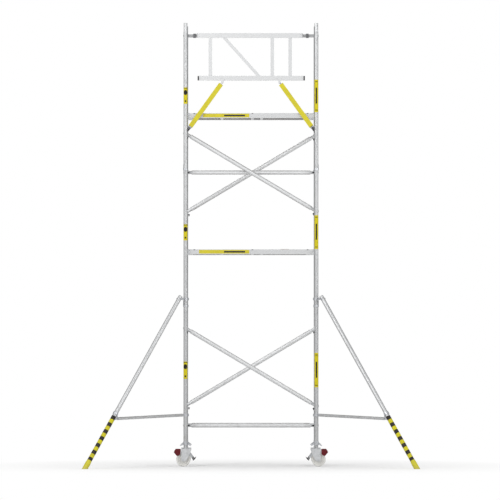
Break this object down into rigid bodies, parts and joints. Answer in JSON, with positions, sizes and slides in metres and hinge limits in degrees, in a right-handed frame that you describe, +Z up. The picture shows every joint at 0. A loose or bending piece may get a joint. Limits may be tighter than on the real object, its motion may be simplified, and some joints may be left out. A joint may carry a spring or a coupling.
{
  "type": "mobile tower scaffold",
  "caption": "Tall aluminium mobile access tower: ladder frames on braked castors, hatch platforms, cross bracing, a front guardrail and telescopic outriggers.",
  "frame": {"origin": "centre of the footprint at ground level, under the wheels and outrigger feet", "axes": "+Z up; front, the side with guardrail and outriggers, faces -Y; X along the bay"},
  "size_m": [4.7582, 2.0904, 6.37],
  "materials": {
    "aluminium_tube": "mill finish, lightly drawn",
    "spigot_aluminium": "mill finish",
    "brace_aluminium": "mill finish",
    "cast_aluminium": "as cast",
    "platform_aluminium": "extruded, mill finish",
    "guardrail_aluminium": "extruded, mill finish",
    "outrigger_aluminium": "mill finish",
    "zinc_steel": "zinc plated",
    "spindle_steel": "zinc plated",
    "castor_steel": "zinc plated",
    "black_plastic": "matt",
    "plywood": "film-faced, mesh pattern",
    "yellow_paint": "satin",
    "striped_paint": "satin, yellow and black bands",
    "yellow_rubber": "matt",
    "wheel_plastic": "satin",
    "brake_red": "gloss"
  },
  "bodies": {
    "tower": {"frame_bottom_left": "aluminium_tube", "frame_bottom_right": "aluminium_tube", "frame_middle_left": "aluminium_tube", "frame_middle_right": "aluminium_tube", "frame_top_left": "aluminium_tube", "frame_top_right": "aluminium_tube", "frame_spigots": "spigot_aluminium", "frame_lock_collars": "zinc_steel", "brace_bottom_front": "brace_aluminium", "brace_bottom_rear": "brace_aluminium", "brace_middle_front": "brace_aluminium", "diagonal_lower_front": "brace_aluminium", "diagonal_lower_rear": "brace_aluminium", "diagonal_upper_front": "brace_aluminium", "diagonal_upper_rear": "brace_aluminium", "brace_claws": "cast_aluminium", "brace_triggers": "black_plastic", "platform_lower_frame": "platform_aluminium", "platform_upper_frame": "platform_aluminium", "platform_lower_deck": "plywood", "platform_upper_deck": "plywood", "platform_hooks": "cast_aluminium", "guardrail_frame": "guardrail_aluminium", "guardrail_hooks": "zinc_steel", "guardrail_end_caps": "black_plastic", "guardrail_latches": "zinc_steel"},
    "jack_front_left": {"jack_spindle_front_left": "spindle_steel"},
    "nut_front_left": {"jack_nut_front_left": "zinc_steel"},
    "fork_front_left": {"castor_fork_front_left": "castor_steel"},
    "wheel_front_left": {"castor_wheel_front_left": "wheel_plastic"},
    "brake_front_left": {"castor_brake_front_left": "brake_red"},
    "jack_front_right": {"jack_spindle_front_right": "spindle_steel"},
    "nut_front_right": {"jack_nut_front_right": "zinc_steel"},
    "fork_front_right": {"castor_fork_front_right": "castor_steel"},
    "wheel_front_right": {"castor_wheel_front_right": "wheel_plastic"},
    "brake_front_right": {"castor_brake_front_right": "brake_red"},
    "jack_rear_left": {"jack_spindle_rear_left": "spindle_steel"},
    "nut_rear_left": {"jack_nut_rear_left": "zinc_steel"},
    "fork_rear_left": {"castor_fork_rear_left": "castor_steel"},
    "wheel_rear_left": {"castor_wheel_rear_left": "wheel_plastic"},
    "brake_rear_left": {"castor_brake_rear_left": "brake_red"},
    "jack_rear_right": {"jack_spindle_rear_right": "spindle_steel"},
    "nut_rear_right": {"jack_nut_rear_right": "zinc_steel"},
    "fork_rear_right": {"castor_fork_rear_right": "castor_steel"},
    "wheel_rear_right": {"castor_wheel_rear_right": "wheel_plastic"},
    "brake_rear_right": {"castor_brake_rear_right": "brake_red"},
    "trapdoor_lower": {"trapdoor_lower": "plywood"},
    "trapdoor_upper": {"trapdoor_upper": "plywood"},
    "strut_left": {"guardrail_strut_left": "yellow_paint"},
    "strut_right": {"guardrail_strut_right": "yellow_paint"},
    "outrigger_left": {"outrigger_tube_left": "outrigger_aluminium", "outrigger_brace_left": "outrigger_aluminium", "outrigger_clamps_left": "zinc_steel"},
    "outrigger_leg_left": {"outrigger_leg_left": "striped_paint", "outrigger_foot_left": "yellow_rubber"},
    "outrigger_right": {"outrigger_tube_right": "outrigger_aluminium", "outrigger_brace_right": "outrigger_aluminium", "outrigger_clamps_right": "zinc_steel"},
    "outrigger_leg_right": {"outrigger_leg_right": "striped_paint", "outrigger_foot_right": "yellow_rubber"}
  },
  "joints": [
    {"name": "jack_slide_front_left", "type": "slide", "parent": "tower", "child": "jack_front_left", "axis": [0, 0, -1], "range_m": [0, 0.24]},
    {"name": "nut_spin_front_left", "type": "hinge", "parent": "tower", "child": "nut_front_left", "pos_m": [-0.94, 0.299, 0.335], "axis": [0, 0, 1], "range_deg": [0, 10800]},
    {"name": "castor_swivel_front_left", "type": "hinge", "parent": "jack_front_left", "child": "fork_front_left", "pos_m": [-0.94, 0.299, 0.25], "axis": [0, 0, 1], "continuous": true},
    {"name": "wheel_roll_front_left", "type": "hinge", "parent": "fork_front_left", "child": "wheel_front_left", "pos_m": [-0.972, 0.299, 0.1], "axis": [0, 1, 0], "continuous": true},
    {"name": "brake_rocker_front_left", "type": "hinge", "parent": "fork_front_left", "child": "brake_front_left", "pos_m": [-0.98, 0.299, 0.212], "axis": [0, -1, 0], "range_deg": [0, 14]},
    {"name": "jack_slide_front_right", "type": "slide", "parent": "tower", "child": "jack_front_right", "axis": [0, 0, -1], "range_m": [0, 0.24]},
    {"name": "nut_spin_front_right", "type": "hinge", "parent": "tower", "child": "nut_front_right", "pos_m": [0.94, 0.299, 0.335], "axis": [0, 0, 1], "range_deg": [0, 10800]},
    {"name": "castor_swivel_front_right", "type": "hinge", "parent": "jack_front_right", "child": "fork_front_right", "pos_m": [0.94, 0.299, 0.25], "axis": [0, 0, 1], "continuous": true},
    {"name": "wheel_roll_front_right", "type": "hinge", "parent": "fork_front_right", "child": "wheel_front_right", "pos_m": [0.972, 0.299, 0.1], "axis": [0, 1, 0], "continuous": true},
    {"name": "brake_rocker_front_right", "type": "hinge", "parent": "fork_front_right", "child": "brake_front_right", "pos_m": [0.98, 0.299, 0.212], "axis": [0, 1, 0], "range_deg": [0, 14]},
    {"name": "jack_slide_rear_left", "type": "slide", "parent": "tower", "child": "jack_rear_left", "axis": [0, 0, -1], "range_m": [0, 0.24]},
    {"name": "nut_spin_rear_left", "type": "hinge", "parent": "tower", "child": "nut_rear_left", "pos_m": [-0.94, 0.999, 0.335], "axis": [0, 0, 1], "range_deg": [0, 10800]},
    {"name": "castor_swivel_rear_left", "type": "hinge", "parent": "jack_rear_left", "child": "fork_rear_left", "pos_m": [-0.94, 0.999, 0.25], "axis": [0, 0, 1], "continuous": true},
    {"name": "wheel_roll_rear_left", "type": "hinge", "parent": "fork_rear_left", "child": "wheel_rear_left", "pos_m": [-0.972, 0.999, 0.1], "axis": [0, 1, 0], "continuous": true},
    {"name": "brake_rocker_rear_left", "type": "hinge", "parent": "fork_rear_left", "child": "brake_rear_left", "pos_m": [-0.98, 0.999, 0.212], "axis": [0, -1, 0], "range_deg": [0, 14]},
    {"name": "jack_slide_rear_right", "type": "slide", "parent": "tower", "child": "jack_rear_right", "axis": [0, 0, -1], "range_m": [0, 0.24]},
    {"name": "nut_spin_rear_right", "type": "hinge", "parent": "tower", "child": "nut_rear_right", "pos_m": [0.94, 0.999, 0.335], "axis": [0, 0, 1], "range_deg": [0, 10800]},
    {"name": "castor_swivel_rear_right", "type": "hinge", "parent": "jack_rear_right", "child": "fork_rear_right", "pos_m": [0.94, 0.999, 0.25], "axis": [0, 0, 1], "continuous": true},
    {"name": "wheel_roll_rear_right", "type": "hinge", "parent": "fork_rear_right", "child": "wheel_rear_right", "pos_m": [0.972, 0.999, 0.1], "axis": [0, 1, 0], "continuous": true},
    {"name": "brake_rocker_rear_right", "type": "hinge", "parent": "fork_rear_right", "child": "brake_rear_right", "pos_m": [0.98, 0.999, 0.212], "axis": [0, 1, 0], "range_deg": [0, 14]},
    {"name": "trapdoor_hinge_lower", "type": "hinge", "parent": "tower", "child": "trapdoor_lower", "pos_m": [0.485, 0.881, 3.113], "axis": [-1, 0, 0], "range_deg": [0, 92]},
    {"name": "trapdoor_hinge_upper", "type": "hinge", "parent": "tower", "child": "trapdoor_upper", "pos_m": [0.485, 0.881, 5.073], "axis": [-1, 0, 0], "range_deg": [0, 92]},
    {"name": "guardrail_strut_pivot_left", "type": "hinge", "parent": "tower", "child": "strut_left", "pos_m": [-0.41, 0.317, 5.52], "axis": [0, -1, 0], "range_deg": [0, 50]},
    {"name": "guardrail_strut_pivot_right", "type": "hinge", "parent": "tower", "child": "strut_right", "pos_m": [0.41, 0.317, 5.52], "axis": [0, 1, 0], "range_deg": [0, 50]},
    {"name": "outrigger_swing_left", "type": "hinge", "parent": "tower", "child": "outrigger_left", "pos_m": [-0.94, 0.299, 2.4], "axis": [0, 0, -1], "range_deg": [-30, 35]},
    {"name": "outrigger_leg_slide_left", "type": "slide", "parent": "outrigger_left", "child": "outrigger_leg_left", "axis": [-0.4363, -0.4069, -0.8025], "range_m": [0, 0.25]},
    {"name": "outrigger_swing_right", "type": "hinge", "parent": "tower", "child": "outrigger_right", "pos_m": [0.94, 0.299, 2.4], "axis": [0, 0, 1], "range_deg": [-30, 35]},
    {"name": "outrigger_leg_slide_right", "type": "slide", "parent": "outrigger_right", "child": "outrigger_leg_right", "axis": [0.4363, -0.4069, -0.8025], "range_m": [0, 0.25]}
  ],
  "couplings": [
    {"joint": "nut_spin_front_left", "follows": "jack_slide_front_left", "rad_per_m": 785.4},
    {"joint": "nut_spin_front_right", "follows": "jack_slide_front_right", "rad_per_m": 785.4},
    {"joint": "nut_spin_rear_left", "follows": "jack_slide_rear_left", "rad_per_m": 785.4},
    {"joint": "nut_spin_rear_right", "follows": "jack_slide_rear_right", "rad_per_m": 785.4}
  ]
}
